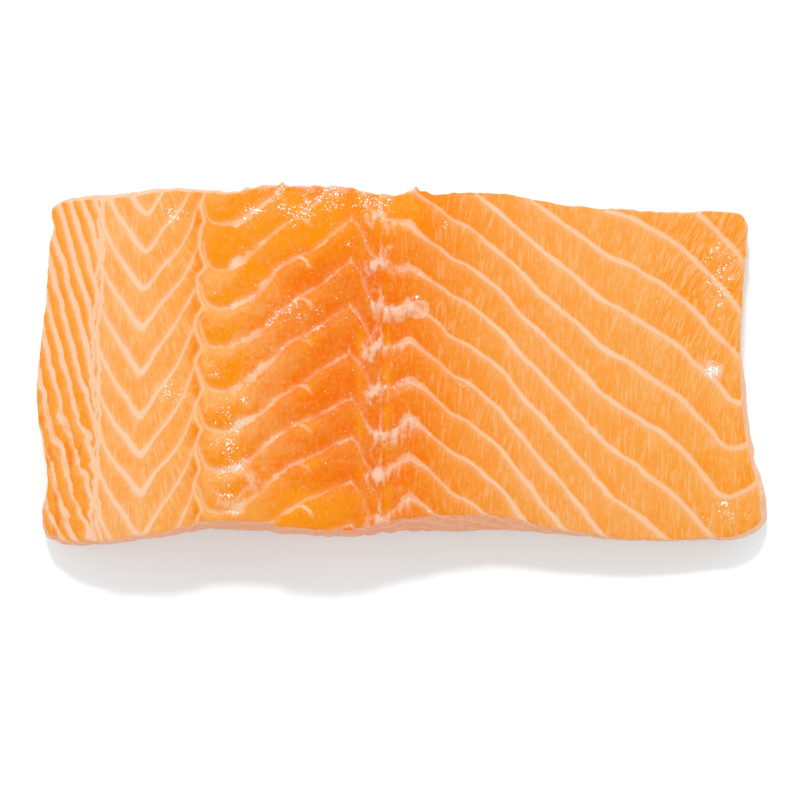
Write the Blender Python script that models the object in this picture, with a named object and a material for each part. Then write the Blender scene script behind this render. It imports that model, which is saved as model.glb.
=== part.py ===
"""Raw salmon fillet: one skinless block, cut straight across the side of the fish.

X runs across the side of the fish, from the edge of the back at -X to the belly at +X.  Y runs along
the fish.  The fillet lies on its skin side, so +Z is the side that came off the backbone.  The origin is
the centre of the face that it rests on.

The flesh is a row of muscle blocks along Y, each parted from the next by a thin septum.  Every septum
traces the same W across the fillet, and the blocks swell a little between them.

All shape values are in millimetres, and the mesh is in metres."""

import bmesh
import bpy
import numpy as np

MM = 0.001
NAME = "salmon_fillet"

# Cells of the top face across and along the fish, and rings of the wall.
COLUMNS = 74
ROWS = 36
WALL_RINGS = 6

# The upper edge, anticlockwise from above.  Each side starts at its corner.
RIM_FRONT = [
    (-83.3, -41.0), (-80.5, -41.7), (-62.6, -40.9), (-51.2, -38.7), (-46.0, -37.3), (-36.7, -37.1),
    (-23.8, -39.1), (-15.6, -39.4), (-8.6, -38.9), (-4.0, -37.4), (1.0, -36.6), (24.4, -36.6),
    (36.3, -39.2), (53.0, -41.5), (71.0, -41.6), (82.0, -40.2),
]
RIM_RIGHT = [
    (84.2, -38.6), (85.4, -35.0), (84.4, -27.0), (81.0, -7.6), (80.5, 6.0), (81.5, 29.3), (81.5, 33.4),
]
RIM_BACK = [
    (80.6, 35.1), (66.0, 35.6), (37.5, 37.4), (27.0, 39.2), (12.8, 40.0), (7.2, 39.5), (3.4, 40.3),
    (-3.0, 39.2), (-12.1, 40.8), (-26.0, 41.3), (-34.6, 40.9), (-38.0, 39.9), (-52.0, 40.1),
    (-70.0, 38.6), (-78.0, 38.4),
]
RIM_LEFT = [
    (-81.6, 37.6), (-83.2, 31.0), (-84.6, 15.0), (-86.9, -10.0), (-84.2, -27.0), (-84.7, -38.6),
]

# How far the foot of the cut wall stands out from the rim.  Places on the rim run from 0 to 4, with
# one whole number for each side: front, right, back and left.
WALL_LEAN = [
    (0.0, 1.2), (0.16, 1.1), (0.25, 3.0), (0.38, 2.0), (0.6, 4.4), (0.74, 0.8), (0.9, -0.3),
    (1.05, 2.3), (1.35, 2.0), (1.65, 1.1), (1.95, 2.2), (2.1, 0.0), (2.55, -0.8), (2.7, 0.3),
    (2.86, 2.6), (3.05, 0.0), (3.5, -1.2), (3.85, -0.6), (4.0, 1.2),
]
WALL_BULGE = 0.6        # how far the wall swells between its rim and its foot
EDGE_RADIUS = 1.5       # rounding of the upper edge
FOOT_RADIUS = 1.8       # rounding of the lower edge
HALF_ROUND = np.sin(np.pi / 4)      # how far round an edge its middle ring lies, as a share of the radius

# Height of the top face over X: low at the edge of the back, thickest beside the backbone, and
# tapering to the belly.
CROWN = [
    (-87.5, 12.5), (-81.0, 18.0), (-71.0, 24.5), (-59.0, 28.6), (-48.0, 29.8), (-38.0, 29.2),
    (-24.0, 30.6), (-12.0, 30.0), (-5.5, 28.9), (2.0, 28.2), (14.0, 25.4), (28.0, 22.8),
    (47.0, 19.6), (66.0, 17.2), (88.0, 14.6),
]
END_DROP = 1.6          # how far the top face falls towards both cut ends

# The soft roll of the back end, where the knife came out beside the backbone: its depth over X.
BACK_ROLL = [(-88.0, 0.2), (-44.0, 0.3), (-34.0, 2.6), (-14.0, 2.6), (4.0, 0.8), (88.0, 0.4)]
BACK_ROLL_START = 33.5
BACK_ROLL_SPAN = 7.0

# The W that each septum traces over the top face, and the step from one septum to the next.
SEPTUM = [
    (-88.0, 43.5), (-78.4, 13.6), (-71.8, -6.3), (-68.5, -13.2), (-61.2, -22.0), (-52.1, -10.1),
    (-46.3, 3.6), (-39.5, 4.0), (-28.6, 12.7), (-12.1, 23.4), (-5.5, 14.8), (1.5, 15.2),
    (18.4, 3.5), (27.8, -6.1), (41.9, -21.6), (56.0, -35.7), (65.4, -43.9), (74.8, -55.5),
    (78.4, -56.6), (88.0, -52.0),
]
BLOCK_LENGTH = [
    (-88.0, 10.1), (-71.0, 9.6), (-5.0, 9.9), (16.0, 9.2), (37.0, 10.2), (51.0, 11.4), (65.0, 12.1),
    (88.0, 12.9),
]

# How far the muscle blocks swell between their septa: little where the knife sliced them, and most
# where they were peeled off the backbone's spines.
SWELL = [
    (-88.0, 0.35), (-74.0, 0.3), (-68.0, 0.1), (-50.0, 0.1), (-46.5, 1.1), (-41.0, 1.3),
    (-36.0, 0.8), (-10.0, 0.8), (0.0, 0.6), (8.0, 0.3), (24.0, 0.12), (88.0, 0.1),
]

# The cleft where the sliced back muscle ends, and the shallow bed of the backbone.
CLEFT_X = -47.9
CLEFT_WIDTH = 2.0
CLEFT_DEPTH = 1.1
BED_X = -5.5
BED_WIDTH = 5.0
BED_DEPTH = 0.7

# The tufts of torn tissue along the backbone, one on each septum.
TUFT_X = -5.0
TUFT_LENGTH = 2.6
TUFT_WIDTH = 1.9
TUFT_HEIGHT = 0.9
TUFT_NUMBERS = range(-3, 6)

FLESH_COLOUR = (0.93, 0.36, 0.10, 1.0)
FLESH_ROUGHNESS = 0.35


def clear_scene():
    for thing in list(bpy.data.objects):
        bpy.data.objects.remove(thing)


def hermite(share, start, end, start_slope, end_slope):
    """A cubic from start to end as share goes from 0 to 1, with the slope given at both ends."""
    square = share**2
    cube = share**3
    return (
        (2 * cube - 3 * square + 1) * start
        + (cube - 2 * square + share) * start_slope
        + (3 * square - 2 * cube) * end
        + (cube - square) * end_slope
    )


def through(stations, x):
    """The value at x of the smooth curve through the stations, each an x and a value."""
    knots, values = np.array(stations).T
    slopes = np.gradient(values, knots)
    left = np.clip(np.searchsorted(knots, x) - 1, 0, len(knots) - 2)
    right = left + 1
    width = knots[right] - knots[left]
    share = np.clip((x - knots[left]) / width, 0, 1)
    return hermite(share, values[left], values[right], slopes[left] * width, slopes[right] * width)


def rim_knots():
    """The rim's points, each with its place, and enough of them repeated to close the curve."""
    sides = [RIM_FRONT, RIM_RIGHT, RIM_BACK, RIM_LEFT]
    places = []
    points = []
    for number, side in enumerate(sides):
        closed = np.array(side + sides[(number + 1) % 4][:1])
        steps = np.hypot(*np.diff(closed, axis=0).T)
        lengths = np.concatenate([[0], np.cumsum(steps)])
        places.extend(number + lengths[:-1] / lengths[-1])
        points.extend(side)
    places = np.array([places[-1] - 4, *places, 4, 4 + places[1]])
    points = np.array([points[-1], *points, points[0], points[1]])
    return places, points


RIM_PLACES, RIM_POINTS = rim_knots()


def rim(place):
    """The point of the rim at each place, which runs from 0 to 4 around it."""
    place = np.mod(place, 4)
    axes = [through(np.column_stack([RIM_PLACES, values]), place) for values in RIM_POINTS.T]
    return np.column_stack(axes)


def outward(place, reach=0.04):
    """The unit vector that points out of the rim at each place."""
    along = rim(place + reach) - rim(place - reach)
    normal = np.column_stack([along[:, 1], -along[:, 0]])
    return normal / np.linalg.norm(normal, axis=1, keepdims=True)


def bell(distance):
    return np.exp(-(distance**2))


def relief(x, y):
    """What the muscle blocks, the cleft, the backbone's bed and the tufts add to the top face."""
    septum_y = through(SEPTUM, x)
    block_length = through(BLOCK_LENGTH, x)
    within = np.mod((septum_y - y) / block_length, 1)
    height = through(SWELL, x) * (0.5 - (2 * within - 1) ** 4)
    height -= CLEFT_DEPTH * bell((x - CLEFT_X) / CLEFT_WIDTH)
    height -= BED_DEPTH * bell((x - BED_X) / BED_WIDTH)
    for number in TUFT_NUMBERS:
        from_tuft = y - septum_y + number * block_length
        height += TUFT_HEIGHT * bell(np.hypot((x - TUFT_X) / TUFT_LENGTH, from_tuft / TUFT_WIDTH))
    return height


def top_height(x, y, along):
    """Height of the top face, where along runs from 0 at the front end to 1 at the back end."""
    rolled = np.clip((y - BACK_ROLL_START) / BACK_ROLL_SPAN, 0, 1) ** 2
    drop = END_DROP * (2 * along - 1) ** 4 + through(BACK_ROLL, x) * rolled
    return through(CROWN, x) - drop + relief(x, y)


def top_points(across, along):
    """Points of the top face inside its rounded edge: a patch stretched between the rim's four sides."""

    def inner_rim(place):
        return rim(place) - EDGE_RADIUS * outward(place)

    u = across[:, None]
    v = along[:, None]
    front_left, front_right, back_right, back_left = inner_rim(np.arange(4.0))
    between_ends = (1 - v) * inner_rim(across) + v * inner_rim(3 - across)
    between_sides = (1 - u) * inner_rim(4 - along) + u * inner_rim(1 + along)
    front_edge = (1 - u) * front_left + u * front_right
    back_edge = (1 - u) * back_left + u * back_right
    x, y = (between_ends + between_sides - (1 - v) * front_edge - v * back_edge).T
    return np.column_stack([x, y, top_height(x, y, along)])


def wall_points(across, along, edge_height, ring):
    """Points of one ring of the wall.  Ring 1 lies on the rounded upper edge, and the last one on the
    face that the fillet rests on, inside the rounded lower edge."""
    place = np.select([along == 0, across == 1, along == 1], [across, 1 + along, 3 - across], 4 - along)
    away = outward(place)
    upper = rim(place)
    lower = upper + through(WALL_LEAN, place)[:, None] * away
    wall_top = edge_height - EDGE_RADIUS
    if ring == 1:
        flat = upper - EDGE_RADIUS * (1 - HALF_ROUND) * away
        height = wall_top + EDGE_RADIUS * HALF_ROUND
    elif ring == WALL_RINGS - 1:
        flat = lower - FOOT_RADIUS * (1 - HALF_ROUND) * away
        height = np.full_like(edge_height, FOOT_RADIUS * (1 - HALF_ROUND))
    elif ring == WALL_RINGS:
        flat = lower - FOOT_RADIUS * away
        height = np.zeros_like(edge_height)
    else:
        down = (ring - 2) / (WALL_RINGS - 4)
        flat = upper + down * (lower - upper) + WALL_BULGE * np.sin(np.pi * down) * away
        height = wall_top + down * (FOOT_RADIUS - wall_top)
    return np.column_stack([flat, height])


def fillet_mesh():
    bm = bmesh.new()
    bmesh.ops.create_grid(bm, x_segments=COLUMNS, y_segments=ROWS, size=0.5)
    grid = np.array([vert.co[:2] for vert in bm.verts]) + 0.5
    across, along = (np.round(grid * (COLUMNS, ROWS)) / (COLUMNS, ROWS)).T
    origin = bm.verts.layers.float_vector.new("origin")
    for vert, u, v, point in zip(bm.verts, across, along, top_points(across, along)):
        vert[origin] = (u, v, point[2])
        vert.co = point * MM

    edges = [edge for edge in bm.edges if edge.is_boundary]
    for ring in range(1, WALL_RINGS + 1):
        made = bmesh.ops.extrude_edge_only(bm, edges=edges)["geom"]
        edges = [item for item in made if isinstance(item, bmesh.types.BMEdge) and item.is_boundary]
        verts = [item for item in made if isinstance(item, bmesh.types.BMVert)]
        origins = np.array([vert[origin] for vert in verts])
        for vert, point in zip(verts, wall_points(*origins.T, ring)):
            vert.co = point * MM
    bmesh.ops.contextual_create(bm, geom=edges)
    bmesh.ops.recalc_face_normals(bm, faces=bm.faces)

    mesh = bpy.data.meshes.new(NAME)
    bm.to_mesh(mesh)
    bm.free()
    return mesh


def centre_on_foot(mesh):
    """Moves the mesh so that its bounding box is centred on the Z axis."""
    points = np.array([vert.co for vert in mesh.vertices])
    middle = (points.min(axis=0) + points.max(axis=0)) / 2
    for vert in mesh.vertices:
        vert.co.x -= middle[0]
        vert.co.y -= middle[1]


def flesh_material():
    material = bpy.data.materials.new("salmon_flesh")
    material.use_nodes = True
    surface = material.node_tree.nodes["Principled BSDF"]
    surface.inputs["Base Color"].default_value = FLESH_COLOUR
    surface.inputs["Roughness"].default_value = FLESH_ROUGHNESS
    return material


def main():
    clear_scene()
    mesh = fillet_mesh()
    centre_on_foot(mesh)
    mesh.shade_smooth()
    mesh.materials.append(flesh_material())
    collection = bpy.data.collections.new(NAME)
    bpy.context.scene.collection.children.link(collection)
    collection.objects.link(bpy.data.objects.new(NAME, mesh))


main()
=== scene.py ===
"""Looks of the raw salmon fillet: fine relief, septa, fibres, torn tissue and wet flesh, around the CAD.

The piece keeps the CAD's form, which the same named values describe, and adds what is finer than the
CAD's facets.  X runs across the side of the fish, from the edge of the back to the belly, Y along the
fish, and Z up from the side that the fillet rests on.  Shape values are in millimetres."""

import bpy
import numpy as np
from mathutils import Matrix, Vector, geometry


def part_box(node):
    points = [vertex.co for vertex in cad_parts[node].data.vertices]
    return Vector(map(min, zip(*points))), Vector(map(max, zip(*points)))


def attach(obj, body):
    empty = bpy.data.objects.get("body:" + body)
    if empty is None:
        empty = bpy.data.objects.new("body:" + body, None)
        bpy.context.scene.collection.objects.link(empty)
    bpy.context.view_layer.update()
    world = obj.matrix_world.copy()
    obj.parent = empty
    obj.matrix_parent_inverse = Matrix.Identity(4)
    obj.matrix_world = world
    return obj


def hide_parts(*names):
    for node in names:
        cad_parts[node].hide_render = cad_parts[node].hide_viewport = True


MM = 0.001
NODE = "salmon_fillet"

# ---------------------------------------------------------------- form, as in the CAD

RIM_FRONT = [
    (-83.3, -41.0), (-80.5, -41.7), (-62.6, -40.9), (-51.2, -38.7), (-46.0, -37.3), (-36.7, -37.1),
    (-23.8, -39.1), (-15.6, -39.4), (-8.6, -38.9), (-4.0, -37.4), (1.0, -36.6), (24.4, -36.6),
    (36.3, -39.2), (53.0, -41.5), (71.0, -41.6), (82.0, -40.2),
]
RIM_RIGHT = [
    (84.1, -38.6), (85.0, -35.0), (83.7, -27.0), (81.3, -16.0), (80.4, -7.0), (80.3, 6.0),
    (81.5, 29.3), (81.5, 33.4),
]
RIM_BACK = [
    (80.6, 35.1), (66.0, 35.6), (37.5, 37.4), (27.0, 39.2), (12.8, 40.0), (7.2, 39.5), (3.4, 40.3),
    (-3.0, 39.2), (-12.1, 40.8), (-26.0, 41.3), (-34.6, 40.9), (-38.0, 39.9), (-52.0, 40.1),
    (-70.0, 38.6), (-78.0, 38.4),
]
RIM_LEFT = [
    (-81.6, 37.6), (-83.2, 31.0), (-84.6, 15.0), (-86.9, -10.0), (-84.2, -27.0), (-84.7, -38.6),
]
WALL_LEAN = [
    (0.0, 1.2), (0.16, 1.1), (0.25, 3.0), (0.38, 2.0), (0.6, 4.4), (0.74, 0.8), (0.9, -0.3),
    (1.05, 2.5), (1.12, 2.1), (1.19, 1.6), (1.28, 1.9), (1.38, 2.1), (1.46, 2.1), (1.54, 0.6),
    (1.62, -0.3), (1.82, -0.3), (1.91, 1.0), (1.98, -0.4), (2.1, -0.6), (2.55, -0.8), (2.7, 0.3),
    (2.8, 1.1), (2.88, 1.7), (2.96, 1.2), (3.06, -0.7), (3.5, -1.2), (3.85, -0.6), (4.0, 1.2),
]
WALL_BULGE = 0.6
FOOT_RADIUS = 1.8
CROWN = [
    (-87.5, 12.5), (-81.0, 18.0), (-71.0, 24.5), (-59.0, 28.6), (-48.0, 29.8), (-38.0, 29.2),
    (-24.0, 30.6), (-12.0, 30.0), (-5.5, 28.9), (2.0, 28.2), (14.0, 25.4), (28.0, 22.8),
    (47.0, 19.6), (66.0, 17.2), (88.0, 14.6),
]
END_DROP = 1.6
BACK_ROLL = [(-88.0, 0.2), (-44.0, 0.3), (-34.0, 2.6), (-14.0, 2.6), (4.0, 0.8), (88.0, 0.4)]
BACK_ROLL_START = 33.5
BACK_ROLL_SPAN = 7.0

# ---------------------------------------------------------------- form and fineness of the mesh

EDGE_RADIUS = 0.7       # the knife's edge is sharper than the CAD's facets allow
COLUMNS = 400
ROWS = 190
EDGE_RINGS = 4
WALL_RINGS = 9
FOOT_RINGS = 2
UNDERSIDE_CELL = 3.0

# Shreds and bumps that stand out of the rim: X, Y, half width along the rim, and how far they stand out.
RIM_TAGS = [
    (-28.3, 41.0, 0.45, 1.2), (-37.0, 40.2, 0.9, 0.5), (3.3, 40.3, 0.5, 0.9), (5.2, 39.9, 0.9, 0.3),
    (-20.5, 41.0, 1.6, 0.4), (-83.4, -18.0, 0.9, 0.6), (-80.6, -41.6, 1.0, 0.5), (-3.0, -38.0, 1.2, 0.5),
    (-82.6, 33.5, 3.6, -0.6),
]


# ---------------------------------------------------------------- muscle blocks and septa

# The W of one septum over the top face, and the step to the next one.
SEPTUM = [
    (-88.0, 53.6), (-82.4, 36.0), (-78.4, 23.4), (-74.8, 12.8), (-71.8, 3.3), (-68.5, -3.6),
    (-65.0, -8.3), (-62.4, -11.8), (-61.2, -12.6), (-60.0, -11.4), (-57.6, -7.6), (-54.4, -3.6),
    (-52.1, 0.0), (-50.4, 3.6), (-49.2, 7.0), (-48.4, 9.2), (-47.8, 9.0), (-47.1, 7.2), (-46.5, 5.4),
    (-45.5, 4.1), (-44.0, 3.5), (-41.8, 3.5), (-39.5, 4.1), (-33.3, 8.2), (-28.6, 12.7), (-19.2, 18.8),
    (-13.4, 23.0), (-12.1, 23.6), (-10.6, 22.0), (-7.6, 16.2), (-5.6, 15.0), (-4.0, 14.5), (-0.6, 14.8),
    (1.5, 15.4), (4.3, 13.4), (9.0, 9.8), (11.6, 7.6), (15.0, 6.1), (18.4, 3.6), (23.1, -0.5),
    (27.8, -6.1), (41.9, -21.6),
    (46.6, -27.5), (56.0, -35.7), (65.4, -43.9), (74.0, -54.4), (81.0, -64.0), (88.0, -76.0),
]
# How far the belly's hook lifts a septum, over X at the front end; it drifts outward towards the back.
HOOK = [(-88.0, 0.0), (72.0, 0.0), (75.0, 0.2), (77.0, 1.9), (80.7, 7.9), (88.0, 24.0)]
HOOK_DRIFT = [(-45.0, 0.0), (-31.0, 0.0), (-21.0, 1.0), (-9.4, 2.8), (0.0, 6.0), (12.0, 12.0), (45.0, 20.0)]
BLOCK_LENGTH = [
    (-88.0, 10.1), (-71.0, 9.6), (-24.0, 9.7), (-5.0, 9.95), (2.0, 8.95), (9.0, 9.15), (23.0, 9.3),
    (37.0, 10.2), (51.0, 11.4), (65.0, 12.1), (88.0, 12.9),
]
BLOCK_TILT = 0.9        # how far along Y a septum drifts for each millimetre of depth

# The back muscle's lines stand a little further towards the belly at the back end.
BACK_SHIFT = 1.4
BACK_SHIFT_SPAN = 34.0
BACK_SHIFT_FADE = [(-88.0, 1.0), (-52.0, 1.0), (-38.0, 0.0), (88.0, 0.0)]

# Over X: how far a septum strays to its sides and along the fish, half its width, and how strongly it
# shows.
WAVER = [(-88.0, 0.75), (-74.0, 0.7), (-69.0, 0.16), (-50.0, 0.12), (-44.0, 0.3), (10.0, 0.3), (88.0, 0.25)]
SWAY = [(-88.0, 0.5), (-70.0, 0.4), (-50.0, 0.4), (-44.0, 0.8), (-2.0, 0.8), (10.0, 0.5), (88.0, 0.5)]
SEPTUM_WIDTH = [
    (-88.0, 0.66), (-73.0, 0.64), (-70.0, 0.40), (-66.0, 0.48), (-62.4, 0.72), (-61.2, 0.80),
    (-60.2, 0.60), (-58.0, 0.38), (-50.0, 0.26), (-46.5, 0.28), (-41.0, 0.30), (-39.0, 0.95),
    (-35.5, 0.84), (-32.0, 0.44), (-25.5, 0.32), (-19.0, 0.22), (-12.0, 0.25), (-9.0, 0.42),
    (-6.0, 0.40), (-2.0, 0.46), (1.0, 0.80), (3.4, 0.62), (7.0, 0.33), (16.0, 0.40), (28.0, 0.52),
    (60.0, 0.56), (76.0, 0.57), (88.0, 0.56),
]
SEPTUM_STRENGTH = [
    (-88.0, 0.95), (-74.0, 0.95), (-70.0, 0.9), (-61.2, 1.0), (-54.0, 0.88), (-49.5, 0.7), (-48.0, 0.4),
    (-41.5, 0.5), (-39.0, 0.8), (-34.0, 0.55), (-28.0, 0.38), (-18.0, 0.32), (-12.5, 0.40), (-10.0, 0.25),
    (-6.0, 0.22), (-1.0, 0.35), (1.5, 0.56), (9.0, 0.54), (16.0, 0.70), (24.0, 0.85), (50.0, 0.85),
    (64.0, 0.72), (88.0, 0.68),
]
# Over X: 0 where the pale haze of a septum lies above it, 1 where it lies below, and 0.5 for both.
HAZE_BELOW = [(-88.0, 1.0), (-73.0, 1.0), (-69.0, 0.5), (-62.0, 0.5), (-60.0, 0.0), (-8.0, 0.0), (2.0, 1.0), (88.0, 1.0)]

# Over X: how far each block stands up like a shingle, how far it swells like a pillow, how far the septa
# stand up, and how uneven the surface is.
SHINGLE = [
    (-88.0, 0.15), (-74.0, 0.15), (-68.0, 0.04), (-46.0, 0.0), (-43.0, 0.35), (-36.0, 0.85),
    (-10.0, 0.75), (0.0, 0.45), (10.0, 0.15), (24.0, 0.05), (88.0, 0.04),
]
PILLOW = [
    (-88.0, 0.30), (-74.0, 0.26), (-68.0, 0.08), (-47.5, 0.05), (-45.0, 0.70), (-41.0, 0.90),
    (-36.0, 0.35), (-10.0, 0.30), (0.0, 0.50), (8.0, 0.20), (24.0, 0.06), (88.0, 0.05),
]
RIDGE = [
    (-88.0, 0.05), (-50.0, 0.04), (-46.0, 0.15), (-40.0, 0.45), (-34.0, 0.45), (-12.0, 0.25),
    (2.0, 0.25), (10.0, 0.08), (88.0, 0.04),
]
UNEVEN = [
    (-88.0, 0.5), (-73.0, 0.45), (-68.0, 0.15), (-52.0, 0.15), (-46.0, 1.0), (-8.0, 1.0), (6.0, 0.5),
    (16.0, 0.2), (88.0, 0.2),
]

CLEFT_X = -47.9         # where the sliced back muscle ends
RAPHE_X = -72.1         # the seam between the back's edge and the big back muscle
SPINE_X = -5.6          # the line of the backbone
INNER_PEAK_X = -12.1    # the two peaks of the septa on either side of the backbone
OUTER_PEAK_X = 1.5
FORK_X = -25.0          # where a fine arc leaves each septum

# ---------------------------------------------------------------- colours, as displayed, 0 to 255

# Over X: the flesh where it looks deep, and where it looks pale.
DEEP = [
    (-88.0, (255, 150, 16)), (-74.0, (255, 150, 18)), (-70.0, (255, 158, 54)), (-52.0, (255, 155, 50)),
    (-48.0, (255, 148, 8)), (-40.0, (255, 141, 0)), (-34.0, (253, 134, 6)), (-24.0, (252, 124, 2)),
    (-12.0, (250, 119, 4)), (-4.0, (251, 121, 4)), (3.0, (252, 130, 14)), (12.0, (253, 140, 24)),
    (24.0, (254, 147, 32)), (40.0, (254, 151, 38)), (60.0, (254, 152, 35)), (76.0, (254, 149, 20)),
    (88.0, (254, 148, 18)),
]
PALE = [
    (-88.0, (255, 175, 86)), (-74.0, (255, 175, 86)), (-70.0, (255, 182, 108)), (-52.0, (255, 181, 106)),
    (-48.0, (255, 176, 92)), (-40.0, (254, 167, 80)), (-32.0, (251, 156, 76)), (-22.0, (248, 144, 56)),
    (-12.0, (247, 138, 44)), (-4.0, (247, 140, 46)), (4.0, (250, 149, 56)), (14.0, (253, 162, 74)),
    (30.0, (254, 175, 97)), (56.0, (254, 176, 94)), (88.0, (254, 171, 76)),
]
# Over X: how pale a block is just below a septum, and just above the next one: partly painted light and
# shade, the upper flank of each block painted paler as if lit and the lower flank deeper as if shaded, and
# partly the flesh's own tone.
LIT_UPPER_TONE = [
    (-88.0, 0.35), (-74.0, 0.35), (-70.0, 0.50), (-50.0, 0.40), (-46.0, 0.95), (-39.0, 0.95), (-30.0, 0.75),
    (-20.0, 0.35), (-12.0, 0.25), (-4.0, 0.15), (6.0, 0.30), (16.0, 0.45), (88.0, 0.55),
]
SHADED_LOWER_TONE = [
    (-88.0, 0.05), (-74.0, 0.05), (-70.0, 0.30), (-50.0, 0.15), (-46.0, -0.40), (-38.0, -0.05),
    (-30.0, 0.20), (-20.0, -0.20), (-4.0, -0.30), (6.0, -0.05), (16.0, 0.20), (40.0, 0.30), (88.0, 0.15),
]
FIBRE_CONTRAST = [
    (-88.0, 0.15), (-73.0, 0.15), (-68.0, 0.9), (-55.0, 0.85), (-49.0, 0.5), (-46.0, 0.1), (-12.0, 0.05), (-3.0, 0.2),
    (5.0, 0.4), (14.0, 0.75), (60.0, 0.8), (88.0, 0.85),
]
# How far towards +X a fibre starts at the top of a block from where it ends at the foot.
FIBRE_LEAN = [
    (-88.0, 0.0), (-62.0, 0.2), (-58.0, -1.4), (-49.0, -2.6), (-44.0, 0.0), (0.0, 0.0), (14.0, 1.0),
    (20.0, 1.6), (28.0, 0.0), (40.0, 0.0), (88.0, 0.0),
]
BELLY_LEAN = [(-88.0, 0.0), (38.0, 0.0), (64.0, 4.0), (88.0, 4.3)]
SEPTUM_COLOUR = (254, 205, 167)
TISSUE_COLOUR = (250, 204, 174)
SIDE_COLOUR = (255, 190, 150)
SIDE_DARK = (238, 152, 112)
PALE_SIDE_COLOUR = (255, 212, 178)      # the walls at the back and at the belly's edge are paler
PALE_SIDE_DARK = (246, 178, 140)
# also the colour of the painted shade on the lower sides of the cells
GOLD_AND_SHADE_COLOUR = (255, 151, 0)
# painted shade: the deep orange painted into gaps and slits in place of their shade
SLOT_SHADE_COLOUR = (250, 136, 4)
STREAK_COLOUR = (255, 198, 142)
# painted highlight: the white of the glints painted into the flesh's colour
GLINT_COLOUR = (255, 253, 249)

# How bright a white sheet is on the floor: paint is a displayed colour divided by it.
LIGHT = 1.40


def linear(colour):
    """Scene-linear values of a displayed colour given from 0 to 255."""
    share = np.array(colour, float) / 255
    return np.where(share <= 0.04045, share / 12.92, ((share + 0.055) / 1.055) ** 2.4)


def pigment(colour):
    """The paint that shows as the given colour in this scene's light."""
    return linear(colour) / LIGHT


# ---------------------------------------------------------------- curves

def hermite(share, start, end, start_slope, end_slope):
    """A cubic from start to end as share goes from 0 to 1, with the slope given at both ends."""
    square = share**2
    cube = share**3
    return (
        (2 * cube - 3 * square + 1) * start
        + (cube - 2 * square + share) * start_slope
        + (3 * square - 2 * cube) * end
        + (cube - square) * end_slope
    )


def through(stations, x):
    """The value at x of the smooth curve through the stations, each an x and a value."""
    knots, values = np.array(stations).T
    slopes = np.gradient(values, knots)
    left = np.clip(np.searchsorted(knots, x) - 1, 0, len(knots) - 2)
    right = left + 1
    width = knots[right] - knots[left]
    share = np.clip((x - knots[left]) / width, 0, 1)
    return hermite(share, values[left], values[right], slopes[left] * width, slopes[right] * width)


def between(stations, x):
    """The value at x on the straight runs between the stations."""
    knots, values = np.array(stations).T
    return np.interp(x, knots, values)


def pigment_between(stations, x):
    knots = [station[0] for station in stations]
    colours = pigment([station[1] for station in stations])
    return np.column_stack([np.interp(x, knots, channel) for channel in colours.T])


def bell(distance):
    return np.exp(-(distance**2))


def ease(value, start, end):
    """0 before start, 1 after end, and smooth between them."""
    share = np.clip((value - start) / (end - start), 0, 1)
    return share * share * (3 - 2 * share)


def noise(x, y, size, seed, cells=128):
    """Smooth random values from about -1 to 1, which change over the given size in millimetres."""
    table = np.random.default_rng(seed).uniform(-1, 1, (cells, cells))
    u = (0.8 * x - 0.6 * y) / size
    v = (0.6 * x + 0.8 * y) / size
    left = np.floor(u).astype(int)
    low = np.floor(v).astype(int)
    a = ease(u - left, 0, 1)
    b = ease(v - low, 0, 1)
    lower = (1 - a) * table[left % cells, low % cells] + a * table[(left + 1) % cells, low % cells]
    upper = (1 - a) * table[left % cells, (low + 1) % cells]
    upper = upper + a * table[(left + 1) % cells, (low + 1) % cells]
    return (1 - b) * lower + b * upper


def layered(x, y, size, seed):
    """Noise with two finer layers over it."""
    fine = 0.5 * noise(x, y, size / 2.1, seed + 1) + 0.25 * noise(x, y, size / 4.3, seed + 2)
    return (noise(x, y, size, seed) + fine) / 1.4


# ---------------------------------------------------------------- the rim

def rim_knots():
    """The rim's points, each with its place, and enough of them repeated to close the curve."""
    sides = [RIM_FRONT, RIM_RIGHT, RIM_BACK, RIM_LEFT]
    places = []
    points = []
    for number, side in enumerate(sides):
        closed = np.array(side + sides[(number + 1) % 4][:1])
        steps = np.hypot(*np.diff(closed, axis=0).T)
        lengths = np.concatenate([[0], np.cumsum(steps)])
        places.extend(number + lengths[:-1] / lengths[-1])
        points.extend(side)
    places = np.array([places[-1] - 4, *places, 4, 4 + places[1]])
    points = np.array([points[-1], *points, points[0], points[1]])
    return places, points


RIM_PLACES, RIM_POINTS = rim_knots()


def smooth_rim(place):
    place = np.mod(place, 4)
    axes = [through(np.column_stack([RIM_PLACES, values]), place) for values in RIM_POINTS.T]
    return np.column_stack(axes)


def outward(place, reach=0.04):
    """The unit vector that points out of the rim at each place."""
    along = smooth_rim(place + reach) - smooth_rim(place - reach)
    normal = np.column_stack([along[:, 1], -along[:, 0]])
    return normal / np.linalg.norm(normal, axis=1, keepdims=True)


def rim(place):
    """The rim with the small tears and nicks of its cut, which are rougher over the peeled blocks."""
    points = smooth_rim(place)
    x, y = points.T
    rough = 1 + 0.8 * ease(x, -50, -42) * ease(x, 14, 6)
    nicks = 0.20 * noise(x, y, 4.0, 11)
    nicks += rough * (0.16 * noise(x, y, 1.7, 12) + 0.08 * noise(x, y, 0.8, 13))
    for tag_x, tag_y, half_width, height in RIM_TAGS:
        nicks += height * bell(np.hypot(x - tag_x, y - tag_y) / half_width)
    return points + nicks[:, None] * outward(place)


# ---------------------------------------------------------------- the pattern of the muscle

def back_x(x, y):
    """X with the drift of the back muscle's lines taken out."""
    return x - BACK_SHIFT * ease(y, 0, BACK_SHIFT_SPAN) * between(BACK_SHIFT_FADE, x)


def muscle_x(x, y):
    """X in the muscle's pattern, which wavers to the sides."""
    stray = noise(x, y, 5.2, 23) + 0.55 * noise(x, y, 2.3, 24)
    liveliness = 1 + ease(x, -70, -74) * (0.7 - 1.3 * ease(y, -20, 6))
    return back_x(x, y) + between(WAVER, x) * liveliness * stray


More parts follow.
